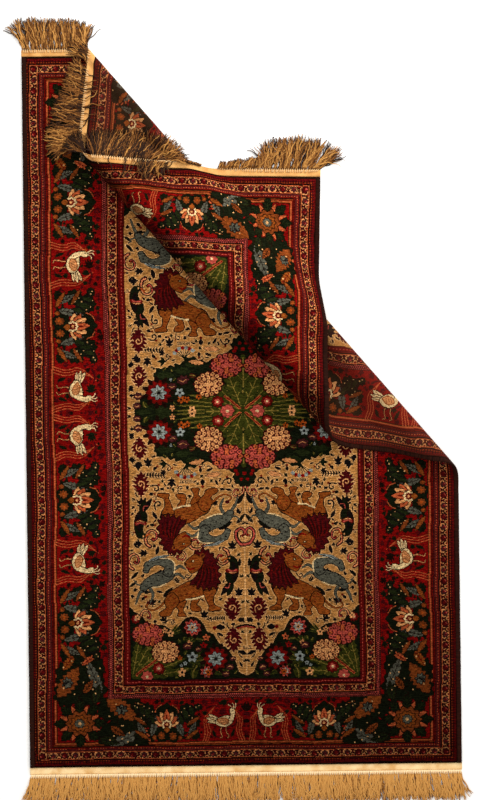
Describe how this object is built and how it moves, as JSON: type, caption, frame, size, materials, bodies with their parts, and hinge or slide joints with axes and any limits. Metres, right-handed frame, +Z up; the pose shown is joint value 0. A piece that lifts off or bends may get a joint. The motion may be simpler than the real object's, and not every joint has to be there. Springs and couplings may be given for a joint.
{
  "type": "hand-knotted persian rug with a folded corner",
  "caption": "Hand-knotted wool rug with striped borders, dark overcast sides, woven ends and fringe, its upper right corner turned over and back.",
  "frame": {"origin": "middle of the bottom of the whole part's box, on the surface that the rug lies on", "axes": "+X to the right across the rug, +Y along its length towards the end with the turned corner, +Z up out of the pile"},
  "size_m": [1.3904, 2.4794, 0.1117],
  "materials": {
    "wool_pile": "cut wool pile, deep red ground with ivory, dark green, salmon and navy knots",
    "overcast_wool": "navy-black wool wrapped round the side cords",
    "kilim_cotton": "plain cream cotton weave",
    "fringe_yarn": "loose golden tan warp yarn"
  },
  "bodies": {
    "root": {"rug_pile": "wool_pile", "selvedge_left": "overcast_wool", "selvedge_right": "overcast_wool", "kilim_bottom": "kilim_cotton", "kilim_top": "kilim_cotton", "fringe_bottom": "fringe_yarn", "fringe_top_flat": "fringe_yarn", "fringe_top_turned": "fringe_yarn", "fringe_top_raised": "fringe_yarn", "fringe_top_corner": "fringe_yarn"}
  },
  "joints": []
}
